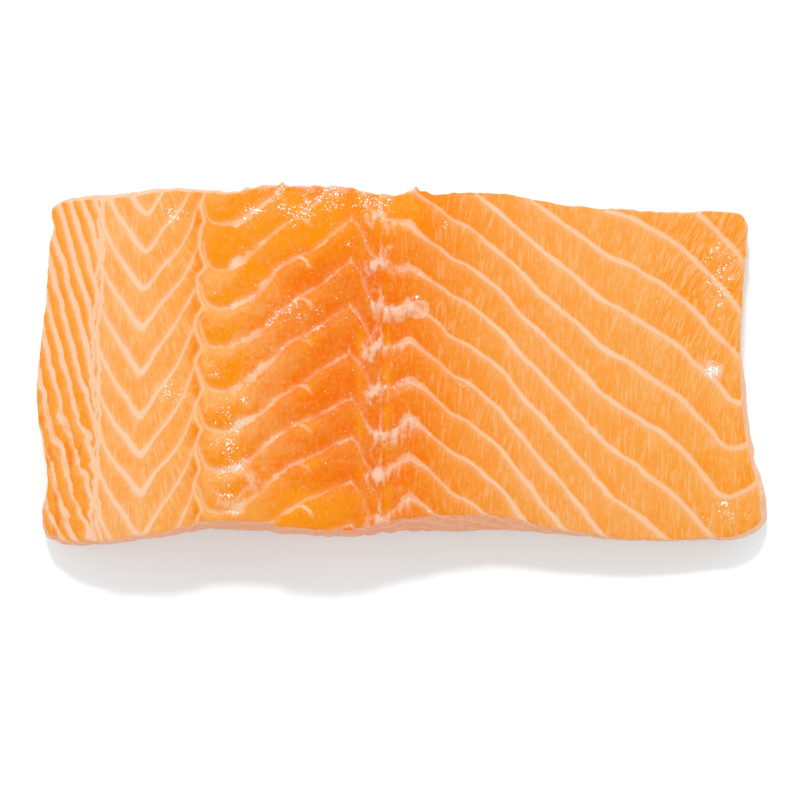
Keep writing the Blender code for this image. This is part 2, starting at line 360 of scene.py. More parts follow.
def septum_phase(x, y, depth=0.0):
    """Whole on each septum, and rising by one from each muscle block to the next towards -Y."""
    across = muscle_x(x, y)
    height = through(SEPTUM, across) + through(HOOK, x - between(HOOK_DRIFT, y))
    height += ease(across, -47, -52) * (1.7 * bell((y - 10) / 13) + 1.1 * bell((y + 29) / 7))
    height += 0.5 * np.minimum(across + 72, 0) * ease(y, 0, -22)
    sway = between(SWAY, x) * (noise(x, y, 11.0, 21) + 0.6 * noise(x, y, 4.2, 22))
    return (height + sway - y + BLOCK_TILT * depth) / through(BLOCK_LENGTH, across)


def septum_gradient(x, y, depth=0.0, reach=0.2):
    """How fast the phase changes with X, Y and Z."""
    return np.column_stack([
        septum_phase(x + reach, y, depth) - septum_phase(x - reach, y, depth),
        septum_phase(x, y + reach, depth) - septum_phase(x, y - reach, depth),
        septum_phase(x, y, depth - reach) - septum_phase(x, y, depth + reach),
    ]) / (2 * reach)


def block_share(x, y):
    """0 just below a septum, and 1 just above the next one."""
    return np.mod(septum_phase(x, y), 1)


def septum_distance(x, y):
    phase = septum_phase(x, y)
    steepness = np.hypot(*septum_gradient(x, y).T[:2])
    return np.abs(phase - np.round(phase)) / steepness


def cleft_bow(y):
    """0 where a septum meets the cleft, and about 1 where the block between bows out over it."""
    phase = septum_phase(np.full_like(y, CLEFT_X + 3), y)
    number = np.floor(phase)
    return np.sin(np.pi * (phase - number)) * (1 + 0.4 * noise(number * 31.0, number * 7.0, 1.0, 32))


def cleft_distance(x, y):
    """How far a point lies beyond the cleft, whose edge bows out round each block of the spine side."""
    return back_x(x, y) - CLEFT_X + 1.4 * cleft_bow(y) - 0.5 - 0.6 * noise(x, y, 3.2, 31)


def tufts(x, y):
    """How deep a point lies in the torn tissue that clings to the line of the backbone, at each septum."""
    phase = septum_phase(np.full_like(y, SPINE_X), y)
    number = np.round(phase)
    below = (phase - number) * through(BLOCK_LENGTH, SPINE_X)
    side = noise(number * 37.0, number * 11.0, 1.0, 41)
    size = 1 + 0.3 * noise(number * 23.0, number * 17.0, 1.0, 44)
    off = x - SPINE_X - 0.2 - 0.6 * side
    ragged = 0.8 * noise(x, y, 2.2, 42) + 0.9 * noise(2.2 * x, 0.6 * y, 1.6, 43) + 0.5 * noise(x, y, 1.2, 48)
    clump = 1.5 * size - np.hypot(off / 1.5, 1.1 * (below - 0.4) - 0.35 * off * side) + 1.3 * ragged
    hook = 0.6 - np.abs(off - 2.6 * np.sign(side) + 0.25 * (below - 1) ** 2 * side)
    hook = np.minimum(hook, 3.4 * size - below) + 0.4 * ragged
    threads = 0.15 - 3.5 * np.abs(noise(x, 0.6 * y, 3.4, 45)) - 1.5 * ease(np.abs(off), 3.0, 5.0)
    threads += 0.6 * noise(x, y, 6.0, 46)
    fringe = 0.5 - block_share(x, y) * through(BLOCK_LENGTH, SPINE_X) / 3.2 + 0.6 * side
    fringe += 0.9 * noise(2.4 * x, 0.4 * y, 1.5, 47) - 2 * ease(np.abs(x - SPINE_X - 3.5), 4.0, 7)
    return np.max([clump, np.where(below > 0, hook, -2.0), threads, fringe], axis=0)


def shingle(share):
    """A block's height over its length: it rises steeply from its septum, then falls to the next one."""
    return np.where(share < 0.22, ease(share, -0.05, 0.22), 1 - ease(share, 0.1, 1.25)) - 0.5


def relief(x, y):
    """What the muscle blocks and their tissue add to the height of the top face."""
    share = block_share(x, y)
    height = between(SHINGLE, x) * shingle(share)
    height += between(PILLOW, x) * (0.5 - (2 * share - 1) ** 4)
    height += between(RIDGE, x) * bell(septum_distance(x, y) / 0.55)
    height += between(UNEVEN, x) * (0.22 * noise(x, y, 4.5, 51) + 0.12 * noise(x, y, 1.9, 52))
    beyond = cleft_distance(x, y)
    height -= 0.1 * bell((beyond + 0.6) / 0.9) + 0.3 * bell(beyond / 2.4)
    height -= 0.7 * bell((x - SPINE_X) / 5.0)
    height += 0.6 * ease(tufts(x, y), -0.2, 1.4)
    return height


def top_height(x, y, along):
    """Height of the top face, where along runs from 0 at the front end to 1 at the back end."""
    rolled = np.clip((y - BACK_ROLL_START) / BACK_ROLL_SPAN, 0, 1) ** 2
    drop = END_DROP * (2 * along - 1) ** 4 + through(BACK_ROLL, x) * rolled
    return through(CROWN, x) - drop + relief(x, y)


# ---------------------------------------------------------------- the mesh

def top_points(across, along):
    """Points of the top face inside its rounded edge: a patch stretched between the rim's four sides."""

    def inner_rim(place):
        return rim(place) - EDGE_RADIUS * outward(place)

    u = across[:, None]
    v = along[:, None]
    front_left, front_right, back_right, back_left = inner_rim(np.arange(4.0))
    between_ends = (1 - v) * inner_rim(across) + v * inner_rim(3 - across)
    between_sides = (1 - u) * inner_rim(4 - along) + u * inner_rim(1 + along)
    front_edge = (1 - u) * front_left + u * front_right
    back_edge = (1 - u) * back_left + u * back_right
    x, y = (between_ends + between_sides - (1 - v) * front_edge - v * back_edge).T
    return np.column_stack([x, y, top_height(x, y, along)])


def wall_ring_points(place, edge_height):
    """The wall's rings, from just below the top face to the face that the fillet rests on."""
    away = outward(place)
    upper = rim(place)
    lower = upper + through(WALL_LEAN, place)[:, None] * away
    wall_top = edge_height - EDGE_RADIUS
    rings = []
    for step in range(1, EDGE_RINGS):
        turn = np.pi / 2 * step / EDGE_RINGS
        flat = upper - EDGE_RADIUS * (1 - np.sin(turn)) * away
        rings.append(np.column_stack([flat, wall_top + EDGE_RADIUS * np.cos(turn)]))
    for step in range(WALL_RINGS + 1):
        down = step / WALL_RINGS
        height = wall_top + down * (FOOT_RADIUS - wall_top)
        phase = septum_phase(*upper.T, edge_height - height)
        swell = 0.22 * (0.5 - (2 * np.mod(phase, 1) - 1) ** 4)
        drag = 0.15 * noise(place * 80, height, 3.0, 61)
        bulge = (WALL_BULGE + swell + drag) * np.sin(np.pi * down)
        flat = upper + down * (lower - upper) + bulge[:, None] * away
        rings.append(np.column_stack([flat, height]))
    for step in range(1, FOOT_RINGS + 1):
        turn = np.pi / 2 * step / FOOT_RINGS
        flat = lower - FOOT_RADIUS * (1 - np.cos(turn)) * away
        rings.append(np.column_stack([flat, np.full_like(edge_height, FOOT_RADIUS * (1 - np.sin(turn)))]))
    return rings


def edge_loop(index):
    """The grid's outer points, anticlockwise from above, from the front left corner."""
    return np.concatenate([index[0, :-1], index[:-1, -1], index[-1, :0:-1], index[:0:-1, 0]])


def is_inside(points, outline):
    """Whether each point lies inside a closed outline: a line from it to +X crosses it an odd number of
    times."""
    x, y = points.T[:, :, None]
    start = outline.T[:, None]
    end = np.roll(outline, -1, axis=0).T[:, None]
    crosses = (start[1] > y) != (end[1] > y)
    rise = np.where(crosses, end[1] - start[1], 1)
    crossing_x = start[0] + (y - start[1]) * (end[0] - start[0]) / rise
    return np.sum(crosses & (crossing_x > x), axis=1) % 2 == 1


def underside(outline):
    """The face that the fillet rests on: points inside its outline, and its triangles.  The outline's
    own points come first in the triangles' numbers, and the points inside follow."""
    low = outline.min(axis=0)
    high = outline.max(axis=0)
    xs = np.arange(low[0], high[0], UNDERSIDE_CELL)
    ys = np.arange(low[1], high[1], UNDERSIDE_CELL)
    cells = np.stack(np.meshgrid(xs, ys), axis=-1).reshape(-1, 2)
    cells = cells[is_inside(cells, outline)]
    given = np.vstack([outline, cells])
    border = [(number, (number + 1) % len(outline)) for number in range(len(outline))]
    found = geometry.delaunay_2d_cdt([Vector(point) for point in given], border, [], 0, 1e-5, True)
    _, _, triangles, sources = found[:4]
    triangles = np.array([[min(sources[corner]) for corner in reversed(triangle)] for triangle in triangles])
    return cells, triangles[is_inside(given[triangles].mean(axis=1), outline)]


def flesh_mesh():
    """The points and faces of the closed flesh, and each point's depth below the top face."""
    along, across = np.meshgrid(np.arange(ROWS + 1) / ROWS, np.arange(COLUMNS + 1) / COLUMNS, indexing="ij")
    top = top_points(across.ravel(), along.ravel())
    index = np.arange(len(top)).reshape(ROWS + 1, COLUMNS + 1)
    corners = [index[:-1, :-1], index[:-1, 1:], index[1:, 1:], index[1:, :-1]]
    faces = np.stack([corner.ravel() for corner in corners], axis=1).tolist()

    loop = edge_loop(index)
    edge_height = top[loop, 2]
    sides = [np.arange(count) / count for count in (COLUMNS, ROWS, COLUMNS, ROWS)]
    place = np.concatenate([number + side for number, side in enumerate(sides)])
    points = [top]
    depths = [np.zeros(len(top))]
    count = len(top)
    for ring in wall_ring_points(place, edge_height):
        lower = count + np.arange(len(ring))
        quads = np.stack([loop, lower, np.roll(lower, -1), np.roll(loop, -1)], axis=1)
        faces.extend(quads.tolist())
        points.append(ring)
        depths.append(edge_height - ring[:, 2])
        loop = lower
        count += len(ring)

    cells, triangles = underside(points[-1][:, :2])
    points.append(np.column_stack([cells, np.zeros(len(cells))]))
    depths.append(through(CROWN, cells[:, 0]))
    first = loop[0]
    faces.extend([[first + corner for corner in triangle] for triangle in triangles])
    return np.vstack(points), faces, np.concatenate(depths)


# ---------------------------------------------------------------- what each point looks like

# Places that stay wet, where the coat shines and white glints are painted into the colour: middle X and Y,
# and reach along X and Y.
WET_AND_GLINT_PLACES = [
    (-22.7, 36.0, 17.0, 5.5), (-40.8, -19.3, 5.5, 17.0), (-54.0, 34.8, 3.6, 5.0), (-54.4, -7.5, 4.0, 5.0),
    (75.3, 21.9, 5.5, 13.0), (76.5, -36.2, 7.5, 3.5), (-5.5, 38.0, 3.4, 3.6), (9.8, 31.0, 2.0, 2.6),
    (2.6, 14.8, 1.4, 1.2), (73.2, -1.9, 2.4, 2.4), (-25.0, 12.0, 7.0, 4.0),
    (15.0, -5.0, 3.0, 1.5),
]
# Places crowded with painted glints, white flecks that stand in for highlights, in the same order.
CROWDED_GLINT_PLACES = [
    (3.3, 15.2, 1.2, 1.0), (-15.6, 39.3, 3.0, 1.5), (-34.6, 35.6, 2.8, 1.2), (-6.4, 37.4, 1.2, 1.8),
    (9.0, 14.0, 1.0, 0.8), (-41.0, -31.2, 2.8, 1.0), (-22.0, 37.5, 2.0, 1.2), (-37.0, -9.0, 1.5, 1.0),
    (76.5, -33.5, 3.0, 0.8), (-12.5, 27.5, 1.5, 0.8), (75.5, 14.0, 1.5, 1.2), (-43.5, -3.0, 1.8, 0.8),
]
# Places where the light comes through the flesh in a golden tone, in the same order.
GOLD_PLACES = [
    (-24.0, 33.0, 20.0, 7.5), (-44.0, 30.0, 4.0, 9.0), (-26.0, -34.0, 16.0, 6.0), (-1.0, 36.0, 6.0, 5.0),
    (-34.0, 22.0, 6.0, 5.0),
]
# A loose flap of clear membrane, a fold of white membrane round the last cell, and a scuffed, pale spot near
# the belly, on which white glints are also painted.
FLAP = (3.7, 12.3, 2.7, 2.2)
FOLD = (-41.9, -28.7, 5.5, 4.0)
SCUFF_AND_GLINTS = (73.4, -1.9, 1.9, 1.9)
# Painted shadow: a deep orange patch for the slit under the cell above the fold.
SHADED_SLIT = (-40.1, -24.3, 1.7, 0.5)
# A corner whose flesh is deeper than the rest of the belly's.
DEEP_CORNER = (75.0, 28.0, 12.0, 14.0)


def reach_share(x, y, place):
    """0 in the middle of a place, and 1 at its reach."""
    middle_x, middle_y, reach_x, reach_y = place
    return np.hypot((x - middle_x) / reach_x, (y - middle_y) / reach_y)


def patches(x, y, places):
    """1 in the middle of the places, down to 0 well outside their reach."""
    return np.clip(sum(bell(reach_share(x, y, place)) for place in places), 0, 1)


def tissue_depth(x, y):
    """How deep each point lies in pale torn tissue, in millimetres, or below 0 outside it."""
    flap = reach_share(x, y, FLAP) + 0.08 * noise(x, y, 1.5, 71)
    clear = np.minimum(5 * (1 - flap), 0.15) + 0.6 * bell((flap - 0.86) / 0.14)
    scuff = np.minimum(2.8 - 2.2 * reach_share(x, y, SCUFF_AND_GLINTS) + 0.9 * noise(x, y, 1.0, 72), 2.2)
    fold = bell((reach_share(x, y, FOLD) - 0.92 + 0.45 * noise(x, y, 3.4, 73)) / 0.28)
    fold = fold * (1.3 + 0.8 * noise(x, y, 4.0, 75)) * ease(x, -47.0, -40.0) - 0.6
    edge_x, edge_y = np.array(RIM_BACK[::-1]).T
    edge = 0.35 - (np.interp(x, edge_x, edge_y) - y) / 1.3 + 0.8 * noise(x, y, 2.4, 74)
    edge = np.minimum(edge, 0.5) - 2 * ease(np.abs(x + 17), 20, 25)
    return np.max([np.clip(tufts(x, y), -2, 1.2), clear, scuff, fold, edge], axis=0)


def store(mesh, name, values):
    """Keeps one value, or one colour, for each point of the mesh."""
    if values.ndim == 1:
        mesh.attributes.new(name, "FLOAT", "POINT").data.foreach_set("value", values.astype(np.float32))
    else:
        colours = np.column_stack([values, np.ones(len(values))])
        layer = mesh.attributes.new(name, "FLOAT_COLOR", "POINT")
        layer.data.foreach_set("color", colours.astype(np.float32).ravel())


def mix(first, second, share):
    return first + (second - first) * share[:, None]


def paint_lines(mesh, x, y, depth, side, normals):
    """Stores where the septa and the other pale lines run."""
    gradient = septum_gradient(x, y, depth)
    gradient[:, 2] *= depth > 0
    gradient -= np.sum(gradient * normals, axis=1)[:, None] * normals
    store(mesh, "septa", septum_phase(x, y, depth))
    store(mesh, "spacing", 1 / np.maximum(np.linalg.norm(gradient, axis=1), 0.02))

    ragged = ease(x, -73.5, -76) * ease(y, -4, -14)
    peeled = ease(x, -46, -40) * ease(x, 6, -2)
    varying = 0.25 * noise(x, y, 3.5, 81) - 0.04 * ragged + 0.12 * ease(x, -72, -74) * ease(y, -4, 10)
    varying += (0.17 + 0.5 * ragged + 0.45 * peeled) * noise(x, y, 2.2, 82)
    varying += 0.45 * peeled * noise(x, y, 1.1, 96) + 0.6 * ragged * noise(x, y, 4.6, 97)
    varying += 0.8 * bell((x + 44) / 3) * ease(y, 5, -15)
    width = between(SEPTUM_WIDTH, x) * (1 + varying)
    store(mesh, "septum_width", width * (1 - side) + 0.3 * side)
    fading = 1 + 0.12 * noise(x, y, 5.0, 83) + (0.75 * peeled + 0.45 * ragged) * noise(x, y, 2.6, 84)
    strength = np.clip(between(SEPTUM_STRENGTH, x) * fading, 0, 1)
    store(mesh, "septum_strength", strength * (1 - side) + 0.5 * side)
    haze_below = between(HAZE_BELOW, x)
    store(mesh, "haze_below", np.clip(2 * haze_below, 0, 1))
    store(mesh, "haze_above", np.clip(2 - 2 * haze_below, 0, 1))
    frayed = 1.6 * bell((x + 38) / 5) * ease(x, -46, -42)
    store(mesh, "raggedness", 0.7 + 1.1 * peeled + 0.2 * ease(x, -72, -75) + 0.9 * ragged + frayed)
    store(mesh, "across", muscle_x(x, y))
    store(mesh, "cleft", cleft_distance(x, y))
    store(mesh, "tissue", tissue_depth(x, y))
    store(mesh, "top", 1 - side)


def gold_and_shade_share(x, y, share, cells):
    """How golden the flesh is: in a few places, low in the cells, where it is painted shade on the cells' lower
    sides, in a pocket beside each fine arc, and beside the line of the backbone."""
    places = patches(x, y, GOLD_PLACES) * (1.1 + 0.6 * noise(x, y, 5.0, 87))
    # painted shade: the lower side of each cell, which lies in shade, is painted golden
    shaded_cell_bottoms = 0.9 * cells * ease(share + 0.06 * (x + 42) + 0.1 * noise(x, y, 2.0, 89), 0.45, 0.75)
    pockets = bell((x - FORK_X - 3.4) / 2.4) * bell((share - 0.2) / 0.17)
    pockets *= 0.75 + 0.6 * noise(x, y, 7.0, 90)
    stripes = bell((x - SPINE_X - 2.0) / 1.0) * ease(share, 0.2, 0.5)
    stripes += bell((x - INNER_PEAK_X - 2.2) / 1.0) * ease(share, 0.9, 0.6)
    stripes *= 0.5 + 0.8 * noise(x, y, 5.0, 91)
    return np.clip(np.max([places, shaded_cell_bottoms, pockets, stripes], axis=0), 0, 1)


def paint_flesh(mesh, x, y, side):
    """Stores the flesh's two colours, with painted shade in them, how its fibres run, how wet it is, and where white
    glints are painted.
    """
    lean = between(FIBRE_LEAN, x) + between(BELLY_LEAN, x) * ease(y, -25, 20)
    store(mesh, "fibre_lean", lean)
    store(mesh, "fibre_contrast", between(FIBRE_CONTRAST, x) * (1 - 0.4 * side))
    store(mesh, "hatch", ease(x, 48, 62) * ease(y, -25, 5) * (1 - side))
    peeled = ease(x, -48, -46) * ease(x, 10, 0)
    # where white glints are painted: the wet places, and along the ridges of the septa in the middle
    on_ridge = bell(septum_distance(x, y) / 0.9) * ease(x, -44, -38) * ease(x, 16, 4)
    wet_and_glints = patches(x, y, WET_AND_GLINT_PLACES) + 0.8 * on_ridge * ease(noise(x, y, 5.0, 85), -0.4, 0.4)
    store(mesh, "wet_and_glints", np.clip(wet_and_glints, 0.10 + 0.22 * peeled, 1) * (1 - side))
    crowded_glints = patches(x, y, CROWDED_GLINT_PLACES) + 1.3 * patches(x, y, [SCUFF_AND_GLINTS])
    store(mesh, "crowded_glints", crowded_glints * (1 - side))
    store(mesh, "mottling", 2.2 + 0.9 * side + 4.2 * peeled * (1 - side))

    share = block_share(x, y)
    cells = ease(x, -47.5, -45.5) * ease(x, -36, -39)
    lowness = ease(share + 0.3 * cells * ((x + 42) / 5), 0.08, 0.9)
    # partly painted shade: each block paler on its upper, lit flank and deeper on its lower, shaded flank
    tone = between(LIT_UPPER_TONE, x) * (1 - lowness) + between(SHADED_LOWER_TONE, x) * lowness
    tone += (0.12 + 0.4 * peeled) * layered(x, y, 6.0, 86) + 0.4 * peeled * layered(x, y, 2.6, 88)
    tone += 0.6 * bell((x + 40) / 3.5) * bell(septum_distance(x, y) / 1.8) - 0.45 * patches(x, y, [DEEP_CORNER])
    deep = pigment_between(DEEP, x)
    pale = pigment_between(PALE, x)
    golden_and_shade = pigment(GOLD_AND_SHADE_COLOUR)
    gold_and_shade = gold_and_shade_share(x, y, share, cells)
    dark = mix(mix(deep, pale, np.clip(tone, -0.3, 1.1)), golden_and_shade, 0.95 * gold_and_shade)
    light = mix(mix(deep, pale, np.clip(tone + 0.8, 0, 1.6)), golden_and_shade, 0.9 * gold_and_shade)
    # painted shade: the gaps at the cleft's pinches, the slits in the torn flesh at the front of the back's edge and
    # the slit above the fold are painted deep orange in place of their shade
    slot_shade = bell((cleft_distance(x, y) + 1.0) / 0.8) * np.clip(1 - 0.8 * cleft_bow(y), 0, 1)
    slot_shade_paint = pigment(SLOT_SHADE_COLOUR)
    shaded_slits = ease(x, -73.5, -76) * ease(y, -2, -12) * ease(noise(1.6 * x, 0.5 * y, 2.4, 92), 0.1, 0.5)
    slot_shade = 0.9 * np.max([slot_shade, shaded_slits, patches(x, y, [SHADED_SLIT])], axis=0)
    dark = mix(dark, slot_shade_paint, slot_shade)
    light = mix(light, slot_shade_paint, slot_shade)
    pale_side = np.maximum(ease(x, 74, 83), ease(y, 28, 38))
    side_dark = mix(pigment(SIDE_DARK), pigment(PALE_SIDE_DARK), pale_side)
    side_light = mix(pigment(SIDE_COLOUR), pigment(PALE_SIDE_COLOUR), pale_side)
    store(mesh, "flesh", np.clip(mix(dark, side_dark, 0.85 * side), 0, 1))
    store(mesh, "fibre", np.clip(mix(light, side_light, 0.85 * side), 0, 1))


def paint(mesh, points, depth):
    """Stores what the material needs to know at each point."""
    normals = np.empty(len(points) * 3, np.float32)
    mesh.vertex_normals.foreach_get("vector", normals)
    x, y = points[:, 0], points[:, 1]
    side = ease(depth, 0.25, 1.2)
    paint_lines(mesh, x, y, depth, side, normals.reshape(-1, 3))
    paint_flesh(mesh, x, y, side)


# ---------------------------------------------------------------- materials

class Nodes:
    """Short calls that add linked nodes to a material."""

    def __init__(self, name):
        self.material = bpy.data.materials.new(name)
        self.material.use_nodes = True
        self.tree = self.material.node_tree
        self.surface = self.tree.nodes["Principled BSDF"]

    def put(self, socket, value):
        if isinstance(value, bpy.types.NodeSocket):
            self.tree.links.new(value, socket)
        else:
            socket.default_value = value

    def add(self, kind, inputs, output=0, **settings):
        node = self.tree.nodes.new(kind)
        for name, value in settings.items():
            setattr(node, name, value)
        for name, value in inputs.items():
            self.put(node.inputs[name], value)
        return node.outputs[output]

    def math(self, operation, *values):
        return self.add("ShaderNodeMath", dict(enumerate(values)), operation=operation)

    def value(self, name):
        return self.add("ShaderNodeAttribute", {}, "Fac", attribute_name=name)

    def colour(self, name):
        return self.add("ShaderNodeAttribute", {}, "Color", attribute_name=name)

    def vector(self, x, y, z):
        return self.add("ShaderNodeCombineXYZ", {"X": x, "Y": y, "Z": z})

    def noise(self, vector, scale, detail=2.0, roughness=0.5):
        inputs = {"Vector": vector, "Scale": scale, "Detail": detail, "Roughness": roughness}
        return self.add("ShaderNodeTexNoise", inputs, "Fac")

    def ramp(self, value, start, end, low=0.0, high=1.0):
        """low before start and high after end, with a smooth step between them."""
        inputs = {"Value": value, "From Min": start, "From Max": end, "To Min": low, "To Max": high}
        return self.add("ShaderNodeMapRange", inputs, interpolation_type="SMOOTHSTEP")

    def mix(self, share, first, second):
        node = self.tree.nodes.new("ShaderNodeMix")
        node.data_type = "RGBA"
        for number, value in ((0, share), (6, first), (7, second)):
            self.put(node.inputs[number], value)
        return node.outputs[2]

    def finish(self, **inputs):
        for name, value in inputs.items():
            self.put(self.surface.inputs[name.replace("_", " ")], value)
        return self.material


def rgba(colour):
    return (*pigment(colour), 1.0)


def septum_lines(nodes, septa, ragged):
    """How strongly the septa show, and how far each point is from the edge of the nearest one."""
    distance = nodes.math("MULTIPLY", nodes.math("PINGPONG", septa, 0.5), nodes.value("spacing"))
    from_edge = nodes.math("SUBTRACT", nodes.math("ADD", distance, ragged), nodes.value("septum_width"))
    shown = nodes.math("MULTIPLY", nodes.ramp(from_edge, 0.27, -0.25), nodes.value("septum_strength"))
    return shown, from_edge


def pale_strands(nodes, y, share, block, ragged):
    """How strongly the other pale lines show: the raphe, the cleft's membrane, the backbone's sheet, the
    spikes on the peaks and the fine arcs."""
    across = nodes.value("across")

    def strand(offset, half_width, strength):
        edge = nodes.math("ADD", nodes.math("ABSOLUTE", offset), ragged)
        edge = nodes.math("SUBTRACT", edge, half_width)
        return nodes.math("MULTIPLY", nodes.ramp(edge, 0.22, -0.20), strength)

    def from_line(x, wander, pitch, seed):
        """The distance to a line along Y at x that wanders to its sides."""
        stray = nodes.noise(nodes.vector(seed, nodes.math("MULTIPLY", y, pitch), 0.0), 1.0, 1.0)
        line = nodes.math("MULTIPLY_ADD", nodes.math("SUBTRACT", stray, 0.5), wander, x)
        return nodes.math("SUBTRACT", across, line)

    above_septum = nodes.ramp(share, 0.35, 0.85)
    spike = nodes.ramp(share, 0.74, 1.0, 0.0, 0.7)
    arc_x = nodes.math("MULTIPLY_ADD", nodes.math("POWER", share, 0.5), 6.0, FORK_X)
    chance = nodes.ramp(nodes.noise(nodes.vector(block, 0.0, 5.5), 1.7, 0.0), 0.3, 0.55, 0.3, 0.85)
    arc_fade = nodes.math("MULTIPLY", nodes.ramp(share, 0.5, 0.2), chance)
    strands = [
        strand(from_line(RAPHE_X + 0.55, 2.6, 0.21, 1.5), 0.42, 0.9),
        strand(from_line(RAPHE_X - 0.55, 2.6, 0.26, 7.5), 0.40, 0.9),
        strand(from_line(RAPHE_X, 3.4, 0.17, 9.5), 0.26, 0.6),
        strand(nodes.math("SUBTRACT", nodes.value("cleft"), 0.4), 0.42, 0.62),
        strand(from_line(SPINE_X + 0.5, 1.4, 0.3, 3.5), 0.30, nodes.math("MULTIPLY", above_septum, 0.55)),
        strand(from_line(INNER_PEAK_X, 0.5, 0.5, 4.5), nodes.math("MULTIPLY", spike, 0.3), spike),
        strand(from_line(OUTER_PEAK_X, 0.5, 0.5, 5.5), nodes.math("MULTIPLY", spike, 0.35), spike),
        strand(nodes.math("SUBTRACT", across, arc_x), 0.38, arc_fade),
    ]
    strongest = strands[0]
    for other in strands[1:]:
        strongest = nodes.math("MAXIMUM", strongest, other)
    return nodes.math("MULTIPLY", strongest, nodes.value("top"))


def fibre_streaks(nodes, x, y, z, share, block):
    """Thin pale lines along the muscle and the softer shades between them, afresh in each block."""
    centre = nodes.math("SUBTRACT", 0.5, share)
    across = nodes.math("SUBTRACT", x, nodes.math("MULTIPLY", nodes.value("fibre_lean"), centre))
    seed = nodes.math("MULTIPLY", block, 3.7)

    def streaks(pitch, stretch, detail):
        along = nodes.math("MULTIPLY_ADD", y, stretch, nodes.math("MULTIPLY", z, stretch))
        vector = nodes.vector(nodes.math("MULTIPLY", across, pitch), along, seed)
        return nodes.noise(vector, 1.0, detail)

    lines = nodes.ramp(streaks(1.9, 0.22, 0.0), 0.59, 0.69)
    fine = nodes.ramp(streaks(3.4, 0.35, 1.0), 0.3, 0.7, -0.35, 0.55)
    soft = nodes.ramp(streaks(0.4, 0.15, 1.0), 0.3, 0.7, -0.25, 0.35)
    hatch = nodes.math("MULTIPLY", nodes.ramp(streaks(3.0, 0.4, 0.0), 0.55, 0.68), nodes.value("hatch"))
    contrast = nodes.value("fibre_contrast")
    lines = nodes.math("MAXIMUM", nodes.math("MULTIPLY", lines, contrast), hatch)
    shown = nodes.math("MULTIPLY_ADD", contrast, 0.8, 0.1)
    return lines, nodes.math("MULTIPLY", nodes.math("ADD", fine, soft), shown)


def glints(nodes, place, wet_and_glints):
    """Painted highlights: small white glints painted into the colour, crowded where the flesh is wettest."""
    cluster = nodes.ramp(nodes.noise(place, 0.33, 2.0), 0.40, 0.58, 0.3, 1.0)
    crowded_glints = nodes.math("MULTIPLY", nodes.value("crowded_glints"), 1.25)
    glint_density = nodes.math("MAXIMUM", nodes.math("MULTIPLY", wet_and_glints, cluster), crowded_glints)
    start = nodes.math("MULTIPLY_ADD", glint_density, -0.23, 0.79)
    excess = nodes.math("SUBTRACT", nodes.noise(place, 2.0, 1.5, 0.6), start)
    return nodes.math("MULTIPLY", nodes.ramp(excess, 0.0, 0.03), nodes.value("top"))


